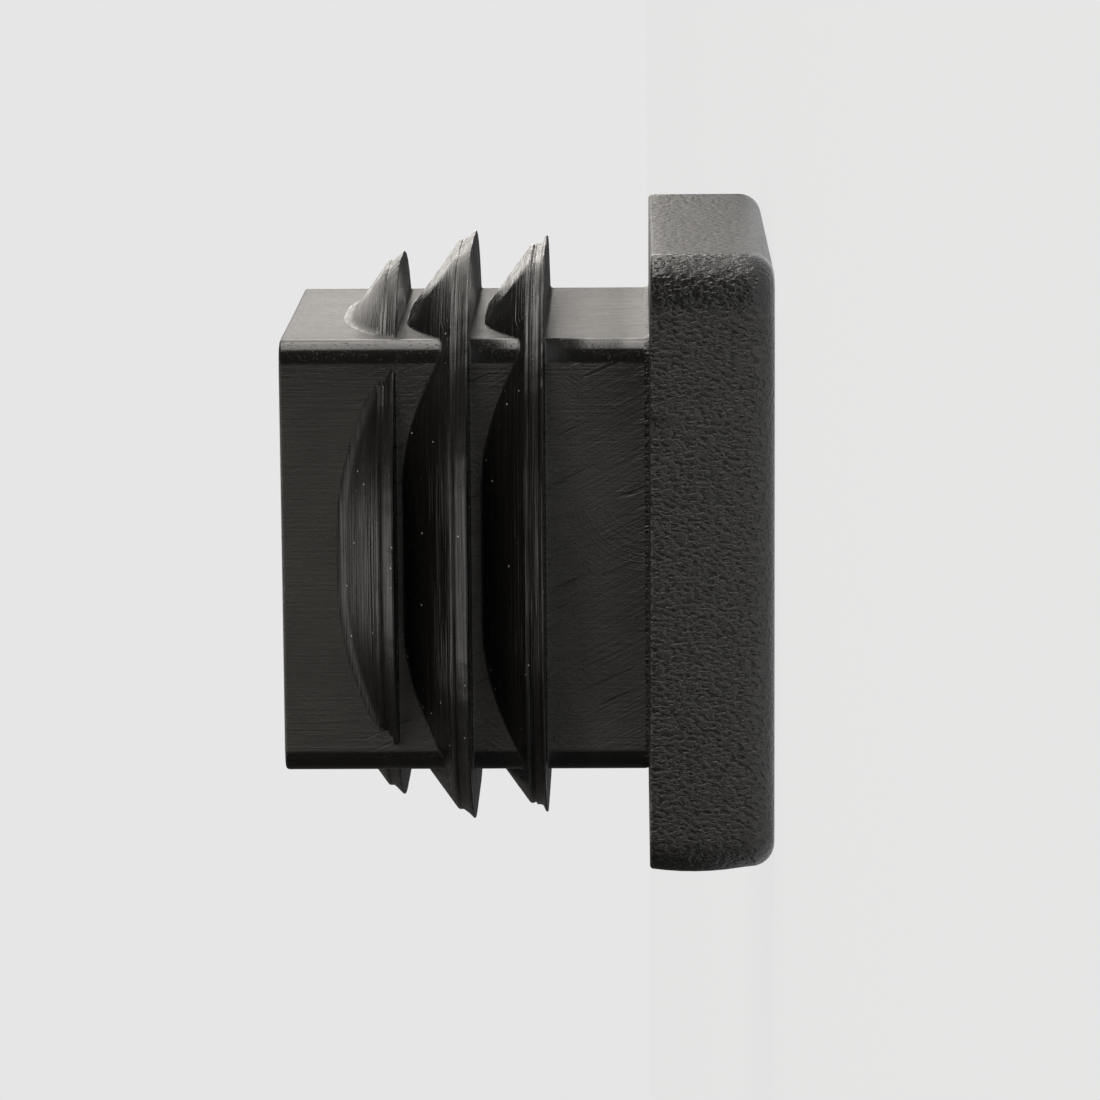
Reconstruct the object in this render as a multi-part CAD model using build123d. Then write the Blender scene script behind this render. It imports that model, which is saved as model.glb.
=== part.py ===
from build123d import *
import math
import os

# Square end cap for a 20 x 20 mm tube, moulded in one piece.
# It stands on the outer face of its head, with the plug pointing up along +Z.
# The origin is where the tube's axis meets the plane that the tube's end stops against:
# the head lies below that plane and the plug above it. All sizes are in millimetres.

# Head: the square plate that stays outside and covers the tube's end.
HEAD_WIDTH = 20.0
HEAD_THICKNESS = 4.0
HEAD_CORNER_RADIUS = 1.1
HEAD_FACE_EDGE_RADIUS = 0.75
HEAD_STOP_EDGE_BREAK = 0.1

# Plug: the square core that goes inside the tube, open at its tip.
PLUG_WIDTH = 14.15
PLUG_LENGTH = 11.85
PLUG_CORNER_RADIUS = 0.7
PLUG_TIP_EDGE_BREAK = 0.12

# Hollow: cored out from the tip, narrowing inwards so that the mould's core pulls free.
WALL_AT_MOUTH = 1.5
HOLLOW_DRAFT_DEG = 0.8
HOLLOW_CORNER_RADIUS = 0.8
HOLLOW_FLOOR_BEVEL = 0.4
HEAD_SKIN = 2.2

# Fins: thin collars around the plug. From the tip's side, each rises on a ramp to a first
# crest, runs level for a moment, rises again to its highest crest and ends in a flat back
# that faces the head. For each fin: how far above the head its first crest stands, how far
# below that its back lies, how far its flat sides lie apart at the first crest, and how
# long those flats are.
FIN_TIP = {"first": 8.66, "drop": 0.52, "width": 17.38, "flat": 1.8}
FIN_MIDDLE = {"first": 6.31, "drop": 0.55, "width": 18.46, "flat": 4.5}
FIN_HEAD = {"first": 3.92, "drop": 0.57, "width": 18.08, "flat": 4.5}
FIN_RAMP_ANGLE = 54.0
FIN_LEVEL_RUN = 0.18
FIN_TOP_STEP = 0.29
FIN_TOP_LAND = 0.08
FIN_ROOT_RADIUS = 0.45
# The fin's foot runs just under the plug's skin, and its core reaches further in. The foot
# is a little longer than the root's rounding needs.
FIN_FOOT_SINK = 0.02
FIN_CORE_DEPTH = 0.4
FIN_FOOT_SPARE = 1.05

PLUG_HALF = PLUG_WIDTH / 2
HOLLOW_DEPTH = PLUG_LENGTH + HEAD_THICKNESS - HEAD_SKIN
HOLLOW_MOUTH_WIDTH = PLUG_WIDTH - 2 * WALL_AT_MOUTH


def square_at(z, width, corner_radius):
    """A rounded square across the tube's axis, at height z."""
    return Plane.XY.offset(z) * RectangleRounded(width, width, corner_radius)


def edges_at(solid, z):
    """The edges that lie wholly in the plane at height z."""
    flat = 1e-4
    return solid.edges().filter_by_position(Axis.Z, z - flat, z + flat)


def head():
    face = -HEAD_THICKNESS
    plate = extrude(square_at(face, HEAD_WIDTH, HEAD_CORNER_RADIUS), HEAD_THICKNESS)
    plate = fillet(edges_at(plate, face), HEAD_FACE_EDGE_RADIUS)
    return chamfer(edges_at(plate, 0), HEAD_STOP_EDGE_BREAK)


def plug():
    # It starts a little way inside the head, so that the two are one body.
    start = -HEAD_THICKNESS / 2
    core = extrude(square_at(start, PLUG_WIDTH, PLUG_CORNER_RADIUS), PLUG_LENGTH - start)
    return chamfer(edges_at(core, PLUG_LENGTH), PLUG_TIP_EDGE_BREAK)


def fin_profile(fin):
    """The fin's section in the XZ plane, beside the middle of the plug's +X side."""
    crest = fin["width"] / 2
    foot = PLUG_HALF - FIN_FOOT_SINK
    ramp_angle = math.radians(FIN_RAMP_ANGLE)
    ramp_foot = fin["first"] + (crest - foot) / math.tan(ramp_angle)
    toe = ramp_foot + FIN_ROOT_RADIUS * math.tan(ramp_angle / 2) * FIN_FOOT_SPARE
    back = fin["first"] - fin["drop"]
    section = Plane.XZ * make_face(Polyline(
        (foot - FIN_CORE_DEPTH, toe),
        (foot, toe),
        (foot, ramp_foot),
        (crest, fin["first"]),
        (crest, fin["first"] - FIN_LEVEL_RUN),
        (crest + FIN_TOP_STEP, back + FIN_TOP_LAND),
        (crest + FIN_TOP_STEP, back),
        (foot - FIN_CORE_DEPTH, back),
        close=True,
    ))
    root = section.vertices().sort_by_distance((foot, 0, ramp_foot))[0]
    return fillet(root, FIN_ROOT_RADIUS)


def fin_collar(fin):
    """Four straight lengths and four turned corners, fused into one collar."""
    section = fin_profile(fin)
    flat = fin["flat"] / 2
    straight = extrude(section, flat, both=True)
    corner_axis = Axis((flat, flat, 0), (0, 0, 1))
    corner = revolve(Pos(0, flat, 0) * section, corner_axis, 90)
    quarter = straight + corner
    return Solid.fuse(*[Rot(0, 0, turn) * quarter for turn in (0, 90, 180, 270)])


def hollow():
    mouth = Plane.XY.offset(PLUG_LENGTH) * Rot(180, 0, 0) * RectangleRounded(
        HOLLOW_MOUTH_WIDTH, HOLLOW_MOUTH_WIDTH, HOLLOW_CORNER_RADIUS
    )
    core = extrude(mouth, HOLLOW_DEPTH, taper=HOLLOW_DRAFT_DEG)
    return chamfer(edges_at(core, PLUG_LENGTH - HOLLOW_DEPTH), HOLLOW_FLOOR_BEVEL)


def end_cap():
    fins = [fin_collar(fin) for fin in (FIN_TIP, FIN_MIDDLE, FIN_HEAD)]
    return head() + plug() + fins - hollow()


os.makedirs("parts", exist_ok=True)
export_step(end_cap(), "parts/end_cap.step")
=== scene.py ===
# %% [markdown]
# # A square tube end cap
# This moulded black plug closes the end of a 20 mm square tube. The solid model in the
# frame is sound in size but plain. Here its place is taken by one closed skin with the
# small roundings, ragged crests and surface finishes of a real moulding.

# %% Load the frame
import math

import bpy
import numpy as np
from mathutils import Matrix, Vector


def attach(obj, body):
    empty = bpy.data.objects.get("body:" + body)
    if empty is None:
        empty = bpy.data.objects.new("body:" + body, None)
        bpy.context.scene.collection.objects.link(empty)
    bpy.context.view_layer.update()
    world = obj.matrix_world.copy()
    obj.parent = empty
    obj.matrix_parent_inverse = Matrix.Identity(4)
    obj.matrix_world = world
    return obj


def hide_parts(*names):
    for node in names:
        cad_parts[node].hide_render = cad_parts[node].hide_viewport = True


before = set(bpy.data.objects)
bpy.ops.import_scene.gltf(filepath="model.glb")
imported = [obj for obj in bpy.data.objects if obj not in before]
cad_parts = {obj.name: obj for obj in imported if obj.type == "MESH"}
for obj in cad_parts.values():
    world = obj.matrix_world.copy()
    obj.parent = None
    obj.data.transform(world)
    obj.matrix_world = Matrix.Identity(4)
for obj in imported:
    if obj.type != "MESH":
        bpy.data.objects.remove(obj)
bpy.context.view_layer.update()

MM = 0.001

# %% [markdown]
# ## Directions around the axis
# The whole cap is made of square rings around one axis, so it can be built like a
# turned part, but with square rings in place of round ones. Every ring is measured in the
# same directions. They lie closer together at the corners of the plug and head, where
# the outline turns fast.

# %% Directions for every ring
PLAIN_STEPS = 48
CORNER_STEPS = 20
CORNER_START = math.radians(40.3)
CORNER_END = math.radians(49.7)
QUARTER = math.pi / 2


def quarter_turns():
    """The angles of one quarter, from the middle of one side to the middle of the next."""
    before = np.linspace(0, CORNER_START, PLAIN_STEPS, endpoint=False)
    corner = np.linspace(CORNER_START, CORNER_END, CORNER_STEPS, endpoint=False)
    after = np.linspace(CORNER_END, QUARTER, PLAIN_STEPS, endpoint=False)
    return np.concatenate([before, corner, after])


turns = np.concatenate([quarter_turns() + side * QUARTER for side in range(4)])
lead = np.maximum(abs(np.cos(turns)), abs(np.sin(turns)))
side = np.minimum(abs(np.cos(turns)), abs(np.sin(turns)))
print("directions around the axis:", len(turns))

# %% [markdown]
# ## Rings and distances
# Each ring is a rounded square: four flats joined by four arcs. It takes its half width
# and half the length of its flats. The fins' rings have short flats and very wide arcs,
# and the plug's have long flats and tight corners. A fin's height is measured square to its
# own ring, so the second helper says how far any ring lies outside a fin's inner square.

# %% Rounded square rings


def ring(half, flat):
    """How far a rounded square lies from the axis, in every direction."""
    arc = half - flat
    room = np.maximum(arc**2 - (flat * (lead - side)) ** 2, 0)
    turned = flat * (lead + side) + np.sqrt(room)
    return np.where(half * side <= flat * lead, half / lead, turned)


def beyond_square(reach, flat):
    """How far the points at this reach lie outside the square of this half size."""
    along = np.maximum(reach * lead - flat, 0)
    across = np.maximum(reach * side - flat, 0)
    return np.hypot(along, across)


# %% [markdown]
# ## The skin
# The skin is a list of rings, from the floor of the hollow, up its wall, over the rim, down
# the outside and across the outer face of the head. Each ring says how far it reaches, how
# high it lies and which finish the band above it has. Joining each ring to the next gives a
# closed mesh of clean rows, which is easier to shape than solids joined with booleans.

# %% Collect the rings
FINISHES = ["core", "plug", "fin", "head"]
rings = []


def add_ring(reach, height, finish, shown=True, soft=0.0):
    """One more ring. Where it isn't shown, the band above it keeps the plug's finish."""
    number = np.where(shown, FINISHES.index(finish), FINISHES.index("plug")) + 0 * turns
    rings.append((reach + 0 * turns, height + 0 * turns, number.astype(int), soft))


def add_rounding(reach_at, height_at, finish, start, end, steps):
    """Rings round an edge, at angles from start to end, in degrees."""
    for angle in np.radians(np.linspace(start, end, steps)):
        add_ring(reach_at(angle), height_at(angle), finish)


# %% Sizes of the plug and head, in millimetres
PLUG_HALF = 7.075
PLUG_TIP = 11.85
PLUG_CORNER = 0.7
TIP_EDGE = 0.12
HEAD_HALF = 10.0
HEAD_CORNER = 1.35
HEAD_FACE = -4.0
FACE_EDGE = 0.75
STOP_EDGE = 0.1
plug_ring = ring(PLUG_HALF, PLUG_HALF - PLUG_CORNER)

# %% [markdown]
# ## The hollow
# The plug is cored out so that its walls are thin and cool evenly. Its wall leans by less than
# a degree, which lets the mould's core pull free, and the floor's edge is rounded.

# %% Floor and wall of the hollow
MOUTH_HALF = 5.575
MOUTH_CORNER = 0.8
MOUTH_EDGE = 0.06
FLOOR_HEIGHT = -1.8
FLOOR_EDGE = 0.4
WALL_LEAN = math.tan(math.radians(0.8))
floor_half = MOUTH_HALF - (PLUG_TIP - FLOOR_HEIGHT) * WALL_LEAN


def hollow_ring(height, inset=0.0):
    """The hollow's outline at this height, pulled in by inset."""
    lean = (PLUG_TIP - height) * WALL_LEAN
    return ring(MOUTH_HALF - lean - inset, MOUTH_HALF - MOUTH_CORNER)


for share in (0.0, 0.05, 0.3, 0.65):
    add_ring(hollow_ring(FLOOR_HEIGHT, FLOOR_EDGE) * share, FLOOR_HEIGHT, "core")
add_rounding(
    lambda a: hollow_ring(FLOOR_HEIGHT, FLOOR_EDGE * (1 - math.sin(a))),
    lambda a: FLOOR_HEIGHT + FLOOR_EDGE * (1 - math.cos(a)),
    "core", 0, 88, 6,
)
for height in np.linspace(0, PLUG_TIP - MOUTH_EDGE, 6):
    add_ring(hollow_ring(height), height, "core")
print("hollow's floor is", round(2 * floor_half, 2), "mm wide")

# %% Rim of the plug
add_rounding(
    lambda a: hollow_ring(PLUG_TIP) + MOUTH_EDGE * (1 - math.cos(a)),
    lambda a: PLUG_TIP - MOUTH_EDGE * (1 - math.sin(a)),
    "core", 20, 90, 4,
)
add_ring((hollow_ring(PLUG_TIP) + plug_ring) / 2, PLUG_TIP, "core")
add_ring(plug_ring - TIP_EDGE, PLUG_TIP, "core")
add_rounding(
    lambda a: plug_ring - TIP_EDGE * (1 - math.sin(a)),
    lambda a: PLUG_TIP - TIP_EDGE * (1 - math.cos(a)),
    "plug", 18, 90, 5,
)

# %% [markdown]
# ## The fins
# Three thin collars grip the inside of the tube. Going down from the tip, each starts in a
# soft hollow at its root, climbs a ramp to a first crest, runs level for a moment, climbs
# again to a blunt top crest and ends in a flat back. The crest is never quite even on a
# real moulding, so its height wanders a little around the fin. Where a fin's ring would
# fall inside the plug's corner, its rings lie on the plug's skin and nothing shows.

# %% Fin sizes, in millimetres
# The climb to the top crest: each ring's share of the climb, and its height over the back.
EVEN_STEP = [(0.55, 0.185)]
LATE_STEP = [(0.14, 0.25), (0.24, 0.165)]
TOP_EDGE = [(0.97, 0.07), (1.0, 0.052), (1.0, 0.028), (0.98, 0.008), (0.92, 0.0)]
# Each fin, from the tip's side: the height of its first crest, how far below that its back
# lies, half its width there, half the length of its flats, the radius at its root, how deep
# its level stretch dips, how matt its root is and how it climbs to the top crest.
FINS = [
    {
        "first": 8.66, "drop": 0.52, "half": 8.69, "flat": 0.9,
        "root": 0.45, "dip": 0.0, "soft": 0.35, "step": EVEN_STEP,
    },
    {
        "first": 6.31, "drop": 0.55, "half": 9.23, "flat": 2.25,
        "root": 0.12, "dip": 0.0, "soft": 0.0, "step": EVEN_STEP,
    },
    {
        "first": 3.92, "drop": 0.57, "half": 9.04, "flat": 2.25,
        "root": 0.12, "dip": 0.04, "soft": 0.0, "step": LATE_STEP,
    },
]
RAMP = math.radians(54.0)
TOP_STEP = 0.29
# Where a fin would stand lower than the smallest crest it is hidden, and its rings keep a
# small step between them, over a ramp of the smallest run.
SMALLEST_CREST = 0.02
SMALLEST_RAMP = 0.12
HIDDEN_STEP = 0.01
TOUCH = 1e-6
# The most of the ramp that the root's arc may fill, and how far its mattness fades up it.
ROOT_SHARE = 0.8
ROOT_FADE = 0.4
print("fins:", len(FINS), "with ramps at", round(math.degrees(RAMP)), "degrees")

# %% Lines on the ramps
# Fine turned lines on the ramp: how far each lies from the crest, and how deep it is cut.
LINES_REACH = 1.25
RAMP_LINES = [
    (1.2, 0.0), (0.8, 0.0), (0.6, 0.0), (0.582, 0.012), (0.565, 0.0),
    (0.42, 0.0), (0.4, 0.018), (0.38, 0.0), (0.27, 0.0), (0.257, 0.012), (0.245, 0.0),
    (0.165, 0.0), (0.15, 0.014), (0.135, 0.0), (0.085, 0.0),
]
# Grooves need a ramp this long, and the lines this far from the crest are a little matt.
LONG_RAMP = 0.5
MATT_FROM = 0.7
MATT_SHARE = 0.25

# %% Crests and backs
# Each ring's place outward from the first crest and up from it.
FIRST_CREST = [
    (-0.022, 0.012), (-0.006, -0.02), (0.0, -0.05),
    (-0.004, -0.085), (-0.016, -0.095), (-0.004, -0.105),
]
# Then the level stretch: its run, the rounding at its ends, and how far it has risen in its
# middle and where the climb to the top crest starts.
LEVEL_RUN = 0.18
LEVEL_EDGE = 0.03
LEVEL_RISE = 0.012
CLIMB_START = 0.04
# How ragged the crests are, how much of it is in the fast waves and at the first crest, and
# how many waves of each kind go once around.
RAGGED = 0.012
FAST_SHARE = 0.6
FIRST_SHARE = 0.4
SLOW_WAVES = (3, 12)
FAST_WAVES = (30, 110)
# The back's rings: their share of the fin's height, and how far they sink below its edge,
# then how far its root has sunk and the radius there.
BACK = [(0.6, 0.008), (0.2, 0.016)]
BACK_SINK = 0.02
BACK_ROOT = 0.08
# Small nibs of plastic left on a crest, on the -Y side: where, how wide and how high.
NIBS = [(0, 0.45, 0.1, 0.05), (2, -6.4, 0.12, 0.07), (1, -2.8, 0.1, 0.03)]

# %% A height that wanders around the ring
dice = np.random.default_rng(5)


def wander(slowest, fastest, waves=24):
    """A smooth random line around the ring, about 1 high, with no seam."""
    total = 0 * turns
    for _ in range(waves):
        beat = int(dice.integers(slowest, fastest))
        total += np.cos(beat * turns + dice.uniform(0, 2 * math.pi))
    return total / math.sqrt(waves / 2)


# %% Rings of one fin


def add_fin(fin):
    """All rings of one fin, from the root of its ramp down to the root of its back."""
    inner = fin["flat"]
    plug_reach = beyond_square(plug_ring, inner)
    ragged = RAGGED * (wander(*SLOW_WAVES) + FAST_SHARE * wander(*FAST_WAVES))
    over = fin["half"] - inner - plug_reach
    shown = over > SMALLEST_CREST
    crest = np.maximum(over, 0)

    def fin_ring(rise, height, soft=0.0):
        """A ring that stands this far off the plug's skin, measured square to the fin."""
        reach = ring(inner + plug_reach + np.maximum(rise, 0), inner)
        reach = np.where(rise > TOUCH, np.maximum(reach, plug_ring), plug_ring)
        add_ring(reach, height, "fin", reach > plug_ring + TOUCH, soft)

    # The root's arc shrinks where the ramp is too short to hold it.
    tangent = math.tan(RAMP / 2)
    root = np.minimum(fin["root"], ROOT_SHARE * crest / (tangent * math.sin(RAMP)))
    ramp_run = np.maximum(crest / math.tan(RAMP), SMALLEST_RAMP)
    ramp_foot = fin["first"] + ramp_run
    for angle in np.linspace(0, RAMP, 7):
        rise = root * (1 - math.cos(angle))
        height = ramp_foot + root * (tangent - math.sin(angle))
        height = np.where(shown, height, ramp_foot - HIDDEN_STEP * angle)
        soft = fin["soft"] * (1 - ROOT_FADE * angle / RAMP)
        fin_ring(np.where(shown, rise, 0), height, soft)

    low_rise = root * (1 - math.cos(RAMP))
    slope = np.maximum(crest - low_rise, 0) / math.sin(RAMP)
    for away, groove in RAMP_LINES:
        along = away * np.minimum(slope / LINES_REACH, 1)
        rise = crest - along * math.sin(RAMP) - groove * (slope > LONG_RAMP)
        climb = np.maximum(along * math.cos(RAMP), SMALLEST_RAMP * away / LINES_REACH)
        soft = fin["soft"] * MATT_SHARE * (away > MATT_FROM)
        fin_ring(np.where(shown, rise, 0), fin["first"] + climb, soft)

    lift = TOP_STEP + ragged
    x_here = ring(fin["half"], inner) * np.cos(turns)
    for number, x, wide, high in NIBS:
        if FINS[number] is fin:
            lift = lift + high * np.exp(-(((x_here - x) / wide) ** 2)) * (np.sin(turns) < 0)
    level = [
        (-fin["dip"], -LEVEL_RUN + LEVEL_EDGE),
        (LEVEL_RISE - fin["dip"], -LEVEL_RUN),
        (CLIMB_START, -LEVEL_RUN - LEVEL_EDGE),
    ]
    for step, drop in FIRST_CREST + level:
        fin_ring(over + step + FIRST_SHARE * ragged, fin["first"] + drop)

    back = fin["first"] - fin["drop"]
    for share, height in fin["step"] + TOP_EDGE:
        fin_ring(over + lift * share, back + height)
    for share, sink in BACK:
        fin_ring((over + lift) * share, back - sink)
    for angle in np.radians((0, 45, 90)):
        rise = BACK_ROOT * (1 - math.sin(angle))
        height = back - BACK_SINK - BACK_ROOT * (1 - math.cos(angle))
        fin_ring(np.where(over + lift > BACK_ROOT, rise, 0), height)
    print("fin at", fin["first"], "mm shows in", int(shown.sum()), "of", len(turns))


# %% Plug side with its fins
for fin in FINS:
    add_fin(fin)
for height in (1.9, 0.9, 0.12):
    add_ring(plug_ring, height, "plug")

# %% [markdown]
# ## The head
# The head is a thick square plate. Its underside stops the tube, and a fingertip feels only
# the rounded edge of its outer face. Its side is a separate face of the mould, with a
# coarser, spark-eroded surface.

# %% Underside, sides and outer face of the head
HEAD_FLAT = HEAD_HALF - HEAD_CORNER
add_ring(plug_ring + 0.02, 0.03, "head")
add_ring(plug_ring + 0.12, 0.0, "core")
head_ring = ring(HEAD_HALF, HEAD_FLAT)
add_ring((head_ring + plug_ring) / 2, 0.0, "core")
add_ring(ring(HEAD_HALF - 3 * STOP_EDGE, HEAD_FLAT), 0.0, "core")
add_ring(ring(HEAD_HALF - STOP_EDGE, HEAD_FLAT), 0.0, "core")
add_rounding(
    lambda a: ring(HEAD_HALF - STOP_EDGE * (1 - math.sin(a)), HEAD_FLAT),
    lambda a: -STOP_EDGE * (1 - math.cos(a)),
    "head", 22, 90, 4,
)
for height in np.linspace(-0.5, HEAD_FACE + FACE_EDGE + 0.3, 6):
    add_ring(head_ring, height, "head")
add_rounding(
    lambda a: ring(HEAD_HALF - FACE_EDGE * (1 - math.cos(a)), HEAD_FLAT),
    lambda a: HEAD_FACE + FACE_EDGE * (1 - math.sin(a)),
    "head", 0, 90, 10,
)
for share in (0.9, 0.6, 0.3, 0.05, 0.0):
    add_ring(ring(HEAD_HALF - FACE_EDGE, HEAD_FLAT) * share, HEAD_FACE, "head")
print("rings in the skin:", len(rings))

# %% [markdown]
# ## Small errors of a real moulding
# A moulding is never quite true. The plug sits a touch off the middle of the head, the
# stop face slopes a little, the -X side of the head draws in towards its edges, and a knock
# has left a nick in the stop edge. These errors are moves of the finished rings' points.

# %% Sizes of the errors, in millimetres
PLUG_SHIFT = -0.045
STOP_SLOPE = 0.08
STOP_REACH = 0.5
# How deep the edges draw in and round which height, over what distance, from how far out
# and over what width it sets in, and the most of it that the edges get.
BULGE = {"deep": 0.14, "middle": -1.4, "reach": 1.6, "from": 8.0, "fade": 1.5, "most": 1.1}
NICK = {"x": 4.7, "y": -9.8, "wide": 0.22, "deep": 0.17}
PLUG_FOOT = 0.05
plug_rows = [row for row, ring_ in enumerate(rings) if ring_[1].min() > PLUG_FOOT]
print("rings in the plug:", len(plug_rows))

# %% Places of the points


def untrue_head(x, y, z):
    """Moves a ring of the head to where a real moulding has it."""
    near_stop = np.clip(1 + z / STOP_REACH, 0, 1)
    z = z - STOP_SLOPE * (x / HEAD_HALF + 1) / 2 * near_stop
    nick = np.exp(-(((x - NICK["x"]) / NICK["wide"]) ** 2)) * (y < NICK["y"]) * near_stop
    nick = NICK["deep"] * nick
    low_side = np.clip((-x - BULGE["from"]) / BULGE["fade"], 0, 1)
    away = np.minimum(abs(z - BULGE["middle"]) / BULGE["reach"], BULGE["most"])
    return x + BULGE["deep"] * low_side * away**2, y + nick, z - nick


def ring_points(row):
    """A ring's points in millimetres, with the moulding's small errors."""
    reach, height = rings[row][:2]
    x, y = reach * np.cos(turns), reach * np.sin(turns)
    if row in plug_rows:
        return np.stack([x + PLUG_SHIFT, y, height], axis=1)
    is_head = row > max(plug_rows)
    return np.stack(untrue_head(x, y, height) if is_head else (x, y, height), axis=1)


inner_rows = range(1, len(rings) - 1)
ends = [(0.0, 0.0, float(rings[row][1][0])) for row in (0, -1)]
points = np.concatenate([[ends[0]], *(ring_points(row) for row in inner_rows), [ends[1]]])
print("points:", len(points))

# %% [markdown]
# ## From rings to mesh
# Each ring is now a row of points, and each pair of rows becomes a band of four-sided
# faces. The first and last rings have no width, so each closes in one middle point.

# %% Faces between the rings


def skin_faces():
    """Every band's faces and the number of each face's finish."""
    count, last = len(turns), len(points) - 1
    faces, finishes = [], []
    for row in range(len(rings) - 1):
        above, below = 1 + (row - 1) * count, 1 + row * count
        for here in range(count):
            after = (here + 1) % count
            if row == 0:
                faces.append((0, below + here, below + after))
            elif row == len(rings) - 2:
                faces.append((above + here, last, above + after))
            else:
                faces.append((above + here, below + here, below + after, above + after))
        finishes += list(rings[row + 1][2])
    return faces, finishes


# %% Build the mesh
SHARP_FROM = 28


def skin_mesh():
    """The closed skin. Edges that turn more than SHARP_FROM degrees stay crisp."""
    faces, finishes = skin_faces()
    mesh = bpy.data.meshes.new("cap_skin")
    mesh.from_pydata((points * MM).tolist(), [], faces)
    mesh.polygons.foreach_set("material_index", finishes)
    mesh.polygons.foreach_set("use_smooth", [True] * len(faces))
    mesh.set_sharp_from_angle(angle=math.radians(SHARP_FROM))
    mesh.update()
    return mesh


cap = bpy.data.objects.new("cap_skin", skin_mesh())
bpy.context.scene.collection.objects.link(cap)
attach(cap, "root")
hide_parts("end_cap")
print("triangles in the skin:", sum(len(p.vertices) - 2 for p in cap.data.polygons))

# %% [markdown]
# ## Masks for the finishes
# The rounded corners of the plug and head come off a polished part of the mould, so they
# are smoother and darker than the flats; on the head the darker corners are kept to its -X
# side, which is painted shade. A mask on the points tells the finishes where a corner is: 1
# on the arc and 0 on the flats. A second mask fades in towards the plug's corners, where the
# mould dragged most, and also carries painted shade on the plug's +X half. A third marks
# the soft root of a fin.

# %% Mark the corners and roots


def mark(name, values):
    """Keeps one number a point on the skin, for the finishes to read."""
    attribute = cap.data.attributes.new(name, "FLOAT", "POINT")
    attribute.data.foreach_set("value", np.asarray(values, dtype=np.float32))


def each_point(row_values):
    """One number a point, from a ring or a plain number for each row."""
    return np.concatenate([[0.0], *(values + 0 * turns for values in row_values), [0.0]])


def corner_arc(half, corner, tail):
    """1 where the direction meets the corner's arc, falling to 0 within tail past it."""
    start = half - corner
    along = half * side / lead
    return np.clip((along - start + tail) / tail, 0, 1)


# How far each mask runs on past the corner's arc, in millimetres.
HEAD_TAIL = 0.5
PLUG_TAIL = 0.05
DRAG_AND_SHADE_TAIL = 2.6
head_arc = corner_arc(HEAD_HALF, HEAD_CORNER, HEAD_TAIL)
plug_arc = corner_arc(PLUG_HALF, PLUG_CORNER, PLUG_TAIL)
by_corner = corner_arc(PLUG_HALF, PLUG_CORNER, DRAG_AND_SHADE_TAIL)
last_plug_row = max(plug_rows)
arcs_of_rows = (head_arc if row > last_plug_row else plug_arc for row in inner_rows)
mark("corner", each_point(arcs_of_rows))
# This mask carries the drag marks, and also painted shade on the plug's +X half.
mark("by_corner", each_point(by_corner for _ in inner_rows))
mark("root", each_point(rings[row][3] for row in inner_rows))
print("points on a corner:", int((head_arc > 0).sum()), "of", len(turns), "on the head")

# %% [markdown]
# ## The outside laid flat
# Scratches run straight across a side at a slant. A pattern in space would come out as
# short worms where it meets the skin, so each point also keeps its place on the outside laid
# flat, as if the skin were slit along one corner and rolled out.

# %% Lay the outside flat
slit = int(np.argmin(abs(turns - 3 * QUARTER / 2)))
outline = np.stack([plug_ring * np.cos(turns), plug_ring * np.sin(turns)], axis=1)
steps = np.linalg.norm(outline - np.roll(outline, 1, axis=0), axis=1)
around = np.roll(np.cumsum(np.roll(steps, -slit)), slit)
flat_rows = [np.stack([around, 0 * turns, rings[row][1]], axis=1) for row in inner_rows]
laid_flat = np.concatenate([[(0, 0, 0)], *flat_rows, [(0, 0, 0)]])
attribute = cap.data.attributes.new("laid_flat", "FLOAT_VECTOR", "POINT")
attribute.data.foreach_set("vector", laid_flat.astype(np.float32).ravel())
print("once around the plug is", round(float(steps.sum()), 1), "mm")

# %% [markdown]
# ## Shader sums in Python
# A material's nodes are easier to follow as sums. This class wraps the output of one
# node. Adding, subtracting or multiplying wrapped outputs adds the Math nodes for it.

# %% A wrapped socket


class Wire:
    """One output of a shader node, for use in sums."""

    def __init__(self, tree, socket):
        self.tree = tree
        self.socket = socket

    @classmethod
    def node(cls, tree, kind, settings=None, inputs=None, output=0):
        """A new node: its settings first, then the values or wires of its sockets."""
        made = tree.nodes.new(kind)
        for name, value in (settings or {}).items():
            if name == "stops":
                ramp = made.color_ramp.elements
                while len(ramp) < len(value):
                    ramp.new(0.5)
                for stop, (place, shade) in zip(ramp, value):
                    stop.position = place
                    stop.color = (shade, shade, shade, 1)
            else:
                setattr(made, name, value)
        for name, value in (inputs or {}).items():
            if isinstance(value, Wire):
                tree.links.new(value.socket, made.inputs[name])
            else:
                made.inputs[name].default_value = value
        return cls(tree, made.outputs[output])

    def sum(self, operation, first, second):
        """A Math node on two wires, or on a wire and a plain number."""
        settings, inputs = {"operation": operation}, {0: first, 1: second}
        return Wire.node(self.tree, "ShaderNodeMath", settings, inputs)

    def __add__(self, other):
        return self.sum("ADD", self, other)

    def __sub__(self, other):
        return self.sum("SUBTRACT", self, other)

    def __mul__(self, other):
        return self.sum("MULTIPLY", self, other)

    def __rsub__(self, other):
        return self.sum("SUBTRACT", other, self)

    __radd__ = __add__
    __rmul__ = __mul__


# %% Helpers for places


def vectors(tree, operation, first, second):
    """A Vector Math node, for places and colours."""
    settings, inputs = {"operation": operation}, {0: first, 1: second}
    return Wire.node(tree, "ShaderNodeVectorMath", settings, inputs)


def offset_from(tree, place, middle):
    """The way from a middle to each place, and how long that way is."""
    offset = vectors(tree, "SUBTRACT", place, middle)
    settings = {"operation": "LENGTH"}
    return offset, Wire.node(tree, "ShaderNodeVectorMath", settings, {0: offset}, "Value")


def stretched(tree, x, y, z):
    """Places on the cap in millimetres, times a number along each axis."""
    place = Wire.node(tree, "ShaderNodeTexCoord", output="Object")
    return vectors(tree, "MULTIPLY", place, (x / MM, y / MM, z / MM))


def place_along(tree, axis):
    """How far along X (0), Y (1) or Z (2) each place on the cap lies, in millimetres."""
    return Wire.node(tree, "ShaderNodeSeparateXYZ", None, {0: stretched(tree, 1, 1, 1)}, axis)


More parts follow.
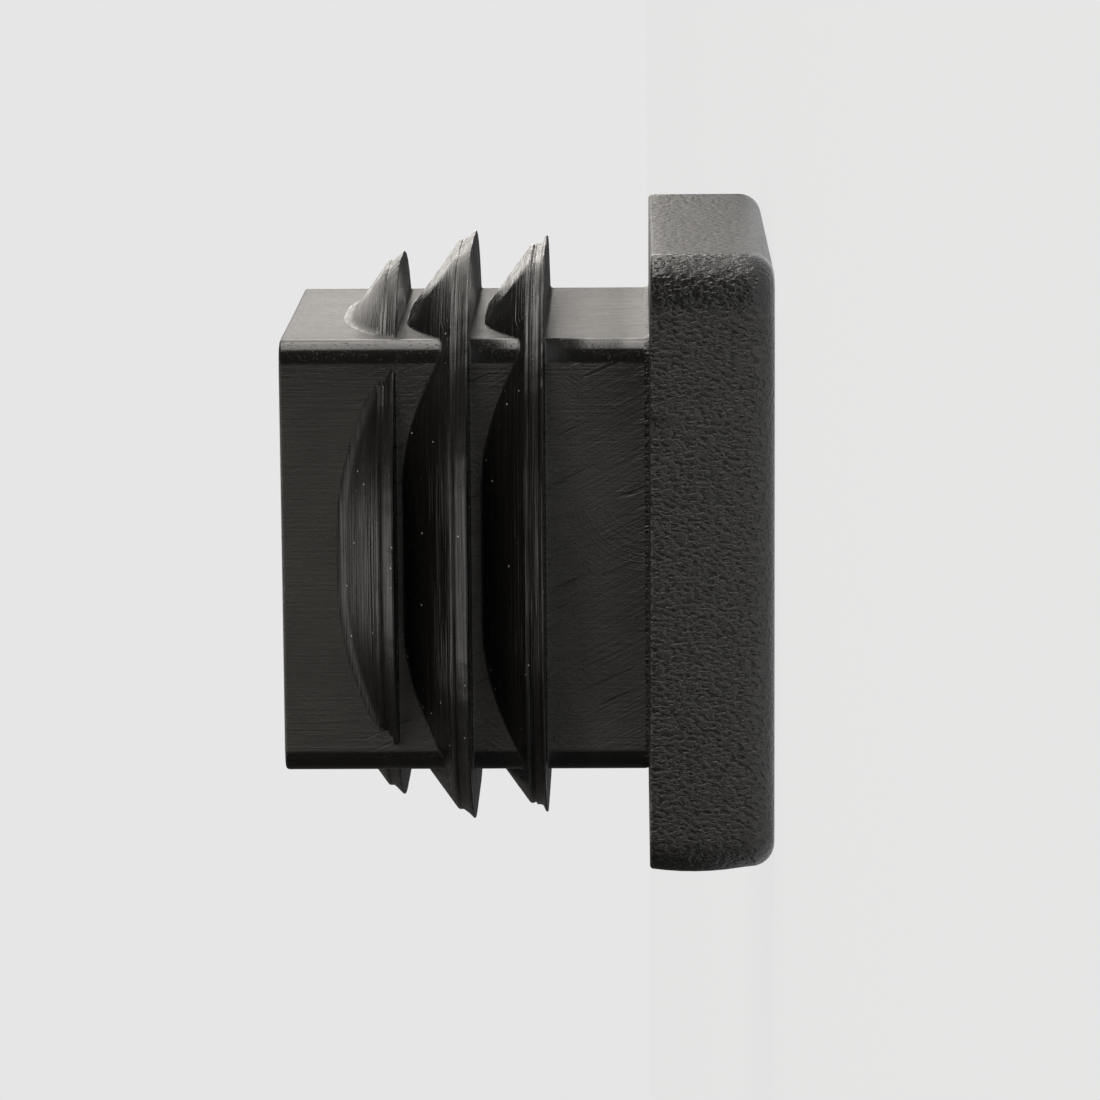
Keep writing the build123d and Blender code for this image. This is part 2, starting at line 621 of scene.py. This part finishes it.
def rolled_out(tree, across, along, tilt=0.0):
    """Places on the outside laid flat, tilted, then times a number each way."""
    settings = {"attribute_name": "laid_flat"}
    place = Wire.node(tree, "ShaderNodeAttribute", settings, output="Vector")
    place = Wire.node(
        tree, "ShaderNodeVectorRotate", {"rotation_type": "Y_AXIS"},
        {"Vector": place, "Angle": math.radians(tilt)},
    )
    return vectors(tree, "MULTIPLY", place, (across, 1.0, along))


# %% Helpers for patterns


def noise(tree, places, detail=3.0, roughness=0.5, swirl=0.0):
    """Cloudy noise, about one blot for each step of the places."""
    inputs = {"Vector": places, "Scale": 1.0, "Detail": detail, "Roughness": roughness}
    return Wire.node(tree, "ShaderNodeTexNoise", None, {**inputs, "Distortion": swirl})


def between(tree, wire, low, high, to_low=0.0, to_high=1.0):
    """The wire's value, moved from the first range to the second and held inside it."""
    return Wire.node(
        tree, "ShaderNodeMapRange", {"clamp": True},
        {"Value": wire, "From Min": low, "From Max": high, "To Min": to_low, "To Max": to_high},
    )


def blend(tree, factor, first, second):
    """One colour turning into another."""
    first, second = (c if isinstance(c, Wire) else c + (1,) for c in (first, second))
    inputs = {0: factor, 6: first, 7: second}
    return Wire.node(tree, "ShaderNodeMix", {"data_type": "RGBA"}, inputs, 2)


def bump(tree, height, depth):
    """A bump whose full height is this many millimetres."""
    inputs = {"Height": height, "Strength": 1.0, "Distance": depth * MM}
    return Wire.node(tree, "ShaderNodeBump", None, inputs)


def marked(tree, name):
    """The number that the skin's points keep under this name."""
    return Wire.node(tree, "ShaderNodeAttribute", {"attribute_name": name}, output="Fac")


SPECK_CORE = 0.7
SHARE_EDGE = 0.01


def specks(tree, spacing, size, share):
    """Small round specks in this share of the cells: 1 on a speck and 0 between them."""
    pace = 1 / spacing
    inputs = {"Vector": stretched(tree, pace, pace, pace), "Scale": 1.0}
    cells = Wire.node(tree, "ShaderNodeTexVoronoi", None, inputs)
    chance = Wire(tree, cells.socket.node.outputs["Color"])
    near = between(tree, cells, SPECK_CORE * size / spacing, size / spacing, 1.0, 0.0)
    return near * between(tree, chance, share, share + SHARE_EDGE, 1.0, 0.0)


# %% Helpers for materials


def show(tree, shader):
    """Joins the last shader to the material's output."""
    tree.links.new(shader.socket, tree.nodes["Material Output"].inputs["Surface"])


def finish_material(name, colour, roughness, normal):
    """Closes a material: what changes over the surface goes to colour, roughness and bump."""
    tree = colour.tree
    shader = Wire.node(
        tree, "ShaderNodeBsdfPrincipled", None,
        {"Base Color": colour, "Roughness": roughness, "Normal": normal, "IOR": 1.5},
    )
    show(tree, shader)
    print("finish made:", name)


def new_material(name):
    """An empty material with nodes, and its node tree."""
    material = bpy.data.materials.new(name)
    material.use_nodes = True
    tree = material.node_tree
    tree.nodes.remove(tree.nodes["Principled BSDF"])
    return material, tree


# %% [markdown]
# ## Finishes
# All of the cap is one black plastic. What differs is the skin that each part of the
# mould gave it: a leathery spark-eroded grain on the head, faint scratches on the
# plug, and fine turning marks on the smooth fins. Rough black plastic scatters a little
# more light than polished plastic, so the grainy skins are a shade paler. In every
# finish, the numbers of a noise are its blots for each millimetre along X, Y and Z, then
# its detail and roughness.

# %% Colours
DEEP = (0.0034, 0.0033, 0.0031)
PALE = (0.029, 0.0281, 0.0262)
DUST = (0.3, 0.29, 0.27)

# %% Depths of the bumps, in millimetres
GRAIN_DEPTH = 0.05
SCRATCH_DEPTH = 0.03
LINE_DEPTH = 0.014
DRAG_DEPTH = 0.01


# %% Head
def head_finish():
    """Leathery grain that fades out on the corners, with painted shade on the -X side's
    corners.
    """
    material, tree = new_material("head_grain")
    wrinkles = noise(tree, stretched(tree, 7.9, 7.9, 4.4), 2.0, 0.45, 0.35)
    crisp = between(tree, wrinkles, 0.38, 0.56)
    broad = noise(tree, stretched(tree, 2.2, 2.2, 1.4), 2.0, 0.5)
    fine = noise(tree, stretched(tree, 20, 20, 16), 2.0, 0.5)
    x = place_along(tree, 0)
    corner = marked(tree, "corner")
    # Painted shade: the corners on the -X side are darker, darkest at the -X edge, which also
    # loses much of its grain.
    flat = 1 - corner * between(tree, x, -8.0, -6.0)
    smoothed_and_painted_shade = corner * between(tree, x, -8.9, -9.6)
    height = crisp * (0.45 + flat * 0.55) + broad * 0.6 + fine * (0.05 + flat * 0.15)
    height = height * (1 - smoothed_and_painted_shade * 0.6)
    roughness = between(tree, fine, 0.3, 0.7, 0.16, 0.26) + flat * 0.13
    shade = between(tree, crisp + fine * 0.6, 0.1, 1.4, 0.06, 0.54)
    shade = shade * (0.1 + flat * 0.9) * (1 - smoothed_and_painted_shade * 0.8)
    colour = blend(tree, shade, DEEP, PALE)
    finish_material("head", colour, roughness, bump(tree, height, GRAIN_DEPTH))
    return material


# %% [markdown]
# Three kinds of mark cross the plug's skin: lines along the axis, strongest near the
# corners, straight scratches at two slants, and one set of arcs where something was turned
# against it. Each is a noise drawn out far along one direction, so that it reads as lines.
# The +X half also has painted shade: its colour darkens towards its corners.

# %% Plug
ARC_MIDDLE = (23.1, 0.0, 0.0)
ARCS_PER_MM = 8.0


def arcs(tree):
    """Scratches along circles about a point near the head, on the outside laid flat."""
    offset, reach = offset_from(tree, rolled_out(tree, 1.0, 1.0), ARC_MIDDLE)
    lines = Wire.node(
        tree, "ShaderNodeTexNoise", {"noise_dimensions": "1D"},
        {"W": reach * ARCS_PER_MM, "Scale": 1.0, "Detail": 2.0, "Roughness": 0.6},
    )
    below = Wire.node(tree, "ShaderNodeSeparateXYZ", None, {0: offset})
    ends = between(tree, reach, 1.2, 1.5) * between(tree, reach, 3.2, 2.4)
    return between(tree, lines, 0.42, 0.62) * ends * between(tree, below, -0.4, -1.0)


def plug_finish():
    """Fine grain under scratches, with a few deep cuts, pits and specks of dust."""
    material, tree = new_material("plug_skin")
    cloud = noise(tree, stretched(tree, 0.4, 0.4, 0.4), 2.0, 0.5)
    patch = noise(tree, stretched(tree, 0.7, 0.7, 0.7), 3.0, 0.6)
    z = place_along(tree, 2)
    drag = noise(tree, rolled_out(tree, 9, 0.45), 3.0, 0.65)
    slant = noise(tree, rolled_out(tree, 9, 0.3, 27), 3.0, 0.65)
    cross = noise(tree, rolled_out(tree, 9, 0.4, -34), 2.0, 0.6)
    deep = noise(tree, rolled_out(tree, 4.5, 0.25, 24), 1.0, 0.5)
    grain = noise(tree, stretched(tree, 12, 12, 12), 3.0, 0.6)
    flat = 1 - marked(tree, "corner")
    by_corner = marked(tree, "by_corner")
    # Painted shade: darker colour on the +X half towards the plug's corners.
    painted_shade_plus_x = between(tree, place_along(tree, 0), -2.0, 3.0)
    low = between(tree, z, 9.6, 8.2)
    slanting = between(tree, slant, 0.42, 0.62) * between(tree, patch, 0.3, 0.6, 0.25, 1.0)
    slanting = slanting * low
    crossing = between(tree, cross, 0.46, 0.62) * between(tree, patch, 0.56, 0.36)
    cut = between(tree, deep, 0.66, 0.69) * low
    along = between(tree, drag, 0.4, 0.64) * (0.6 + by_corner * 0.4)
    lines = slanting * 0.9 + crossing * 0.45 + along * 0.8 + arcs(tree) * 0.8
    pits = between(tree, grain, 0.38, 0.3) * between(tree, z, 11.0, 2.0, 0.4, 1.0)
    height = lines * flat * 0.7 + grain * (0.1 + flat * 0.6) - cut * flat * 0.9 - pits * 0.6
    roughness = between(tree, drag + flat * 0.8, 0.4, 1.4, 0.16, 0.37)
    shade = between(tree, cloud + grain * 0.7, 0.5, 1.1, 0.68, 1.04)
    shade = (shade - cut * 0.3 - pits * 0.3 - by_corner * painted_shade_plus_x * 0.42) * flat
    colour = blend(tree, shade, DEEP, PALE)
    colour = blend(tree, specks(tree, 1.0, 0.036, 0.16), colour, DUST)
    finish_material("plug", colour, roughness, bump(tree, height, SCRATCH_DEPTH))
    return material


# %% Fins
def fin_finish():
    """Turning marks around the fins, which die away at a matt root."""
    material, tree = new_material("fin_skin")
    lines = noise(tree, stretched(tree, 0.12, 0.12, 20), 2.0, 0.65)
    breaks = noise(tree, stretched(tree, 1.0, 1.0, 7), 2.0, 0.5)
    grain = noise(tree, stretched(tree, 12, 12, 12), 2.0, 0.5)
    crisp = between(tree, lines, 0.4, 0.6)
    root = marked(tree, "root")
    height = (crisp * 0.5 + lines * 0.6 + breaks * 0.4) * (1 - root) + grain * 0.4
    roughness = between(tree, breaks + grain * 0.4, 0.4, 1.0, 0.14, 0.3)
    shade = between(tree, lines, 0.5, 0.7, 0.0, 0.14) + root * 0.85
    colour = blend(tree, shade, DEEP, PALE)
    colour = blend(tree, specks(tree, 0.36, 0.034, 0.28), colour, DUST)
    finish_material("fin", colour, roughness, bump(tree, height, LINE_DEPTH))
    return material


# %% Hollow, rim and stop face
def core_finish():
    """Plain matt plastic with faint drag marks along the axis."""
    material, tree = new_material("core_skin")
    drag = noise(tree, stretched(tree, 6, 6, 0.4), 3.0, 0.6)
    grain = noise(tree, stretched(tree, 9, 9, 9), 2.0, 0.5)
    roughness = between(tree, drag, 0.3, 0.7, 0.35, 0.5)
    shade = between(tree, drag, 0.3, 0.7, 0.5, 0.9)
    colour = blend(tree, shade, DEEP, PALE)
    finish_material("core", colour, roughness, bump(tree, drag + grain * 0.4, DRAG_DEPTH))
    return material


for make in (core_finish, plug_finish, fin_finish, head_finish):
    cap.data.materials.append(make())

# %% [markdown]
# ## Camera
# The view is from the side of the standing cap, and the camera lies on its side, so that
# the plug points left in the picture. A long lens keeps the square sides nearly parallel.

# %% Camera
IMAGE = 1100
FOCAL = 5014.76
DISTANCE = 168.888
RAISED = math.radians(10.303)
TURNED = math.radians(0.992)
ROLLED = math.radians(-0.409)
TARGET = Vector((-1.049, 0.0, 3.303))
SENSOR = 36.0

# In the picture, right is down along the tube's axis and up is along +X.
right = Vector((0, math.sin(TURNED), -math.cos(TURNED)))
ahead = Vector((
    -math.sin(RAISED),
    math.cos(TURNED) * math.cos(RAISED),
    math.sin(TURNED) * math.cos(RAISED),
))
up = right.cross(ahead)
rolled_right = right * math.cos(ROLLED) + up * math.sin(ROLLED)
rolled_up = up * math.cos(ROLLED) - right * math.sin(ROLLED)
place = (TARGET - ahead * DISTANCE) * MM
camera_data = bpy.data.cameras.new("camera")
camera_data.sensor_width = SENSOR
camera_data.lens = FOCAL * SENSOR / IMAGE
camera_data.clip_start = 0.001
camera_data.clip_end = 10
camera = bpy.data.objects.new("camera", camera_data)
axes = Matrix((rolled_right, rolled_up, -ahead)).transposed()
camera.matrix_world = Matrix.Translation(place) @ axes.to_4x4()
bpy.context.scene.collection.objects.link(camera)
bpy.context.scene.camera = camera
print("camera at", tuple(round(c / MM, 1) for c in place), "mm")

# %% [markdown]
# ## Floor
# The cap stands on a plain pale floor. The camera sees floor and surroundings in the same
# even grey, and the floor keeps the cap's soft shadow. Glossy black plastic shows what
# lies around it more than its own colour, so the floor is pale near the cap and falls off
# to dark further out, as a table lit by one pool of light does.

# %% Floor
# The even grey that the camera sees, the floor's own grey, and how much of the even grey
# covers it. What is left shows the shadow.
BACKGROUND = 0.792
FLOOR_GREY = 0.75
EVEN_SHARE = 0.93
FLOOR_SIZE = 1.5
POOL_MIDDLE = (6.0 * MM, -6.0 * MM, 0.0)
POOL_EDGE = (13.0 * MM, 36.0 * MM)
POOL_LEVELS = (1.0, 0.06)
BLACK = (0.0, 0.0, 0.0)
WHITE = (1.0, 1.0, 1.0)


def grey(level):
    return (level, level, level, 1)


def glow(tree, colour):
    """An emission of this colour, at a strength of 1."""
    return Wire.node(tree, "ShaderNodeEmission", None, {"Color": colour, "Strength": 1.0})


def mixed(tree, factor, first, second):
    """One shader turning into another."""
    inputs = {0: factor, 1: first, 2: second}
    return Wire.node(tree, "ShaderNodeMixShader", None, inputs)


# %% Floor's material


def floor_material():
    """Even grey to the camera, with a soft shadow, and a pool of light in reflections."""
    material, tree = new_material("floor_grey")
    place = Wire.node(tree, "ShaderNodeTexCoord", output="Object")
    _, reach = offset_from(tree, place, POOL_MIDDLE)
    pool = between(tree, reach, *POOL_EDGE, *POOL_LEVELS)
    seen = Wire.node(tree, "ShaderNodeLightPath", output="Is Camera Ray")
    mirrored = Wire.node(tree, "ShaderNodeLightPath", output="Is Glossy Ray")
    matt = Wire.node(tree, "ShaderNodeBsdfDiffuse", None, {"Color": grey(FLOOR_GREY)})
    even = glow(tree, grey(BACKGROUND))
    lit = glow(tree, blend(tree, pool, BLACK, WHITE))
    show(tree, mixed(tree, mirrored, mixed(tree, seen * EVEN_SHARE, matt, even), lit))
    return material


# %% Lay the floor


corners = [(x * FLOOR_SIZE, y * FLOOR_SIZE, 0) for x, y in ((-1, -1), (1, -1), (1, 1), (-1, 1))]
floor_mesh = bpy.data.meshes.new("floor")
floor_mesh.from_pydata(corners, [], [(0, 1, 2, 3)])
floor = bpy.data.objects.new("floor", floor_mesh)
floor.location.z = HEAD_FACE * MM
bpy.context.scene.collection.objects.link(floor)
floor.data.materials.append(floor_material())
print("floor at", HEAD_FACE, "mm")

# %% [markdown]
# ## Light
# The studio is a soft tent. It is bright on the +X side and behind the cap, has a long
# panel overhead on the -X side, and is dark on the camera's side. The dark part draws the
# line along a rounded edge that makes black plastic read as solid. Each part of the tent is
# a soft-edged window in the world's brightness, set by its bearing around the upright axis
# and by its height. A soft lamp on the +X side lifts the plastic's own colour to a plain
# level and is kept out of the reflections.

# %% World
TENT_REST = 0.08
# Each window's brightness, its bearings in degrees and how soft their ends are, and the
# heights in degrees between which it falls to the share that is left above.
WINDOWS = [
    {
        "level": 4.6, "from": -20.0, "to": 38.0, "soft": 4.0,
        "low": 26.0, "high": 44.0, "above": 1.0,
    },
    {
        "level": 2.2, "from": 38.0, "to": 98.0, "soft": 5.0,
        "low": 3.0, "high": 12.0, "above": 0.35,
    },
]
# The panel overhead: the heights at which it takes over from the windows, and where it
# starts and ends along X, as a share of the way to the horizon.
OVERHEAD = {
    "level": 1.75, "low": 26.0, "high": 44.0,
    "starts": (0.03, -0.05), "ends": (-0.28, -0.45),
}
HIGH_REST = 0.12
WARM = (1.0, 0.955, 0.9)


def sine(degrees):
    return math.sin(math.radians(degrees))


def tent_level(tree, x, y, z):
    """How bright the tent is in each direction."""
    bearing = y.sum("ARCTAN2", y, x) * math.degrees(1)
    around = TENT_REST
    for window in WINDOWS:
        first, last, soft = (window[name] for name in ("from", "to", "soft"))
        opens = between(tree, bearing, first - soft, first + soft)
        closes = between(tree, bearing, last - soft, last + soft)
        low, high = sine(window["low"]), sine(window["high"])
        lower = between(tree, z, low, high, 1.0, window["above"])
        around = around + opens * (1 - closes) * lower * window["level"]
    panel = between(tree, x, *OVERHEAD["starts"])
    panel = panel * between(tree, x, *OVERHEAD["ends"], 1.0, 0.0)
    panel = panel * OVERHEAD["level"] + HIGH_REST
    high = between(tree, z, sine(OVERHEAD["low"]), sine(OVERHEAD["high"]))
    return around * (1 - high) + panel * high


def light_world():
    """The tent lights the cap, and the camera sees the same even grey as on the floor."""
    world = bpy.data.worlds.new("studio")
    bpy.context.scene.world = world
    world.use_nodes = True
    tree = world.node_tree
    look = Wire.node(tree, "ShaderNodeTexCoord", output="Generated")
    parts = Wire.node(tree, "ShaderNodeSeparateXYZ", None, {0: look})
    level = tent_level(tree, *(Wire(tree, parts.socket.node.outputs[axis]) for axis in "XYZ"))
    seen = Wire.node(tree, "ShaderNodeLightPath", output="Is Camera Ray")
    tint = blend(tree, seen, WARM, WHITE)
    backdrop = tree.nodes["Background"]
    strength = level * (1 - seen) + seen * BACKGROUND
    tree.links.new(tint.socket, backdrop.inputs["Color"])
    tree.links.new(strength.socket, backdrop.inputs["Strength"])


light_world()
print("windows in the tent:", len(WINDOWS))

# %% Fill lamp
LAMP_PLACE = (460, -330, 160)
LAMP_SIZE = 200
LAMP_POWER = 3.6

lamp_data = bpy.data.lights.new("fill_lamp", "AREA")
lamp_data.size = LAMP_SIZE * MM
lamp_data.energy = LAMP_POWER
lamp_data.color = WARM
lamp = bpy.data.objects.new("fill_lamp", lamp_data)
lamp.location = Vector(LAMP_PLACE) * MM
lamp.rotation_euler = (-lamp.location).to_track_quat("-Z", "Y").to_euler()
lamp.visible_glossy = False
bpy.context.scene.collection.objects.link(lamp)
print("fill lamp at", LAMP_PLACE, "mm,", LAMP_POWER, "W")

# %% Keep the sizes and finish
bpy.context.scene.view_settings.view_transform = "Standard"
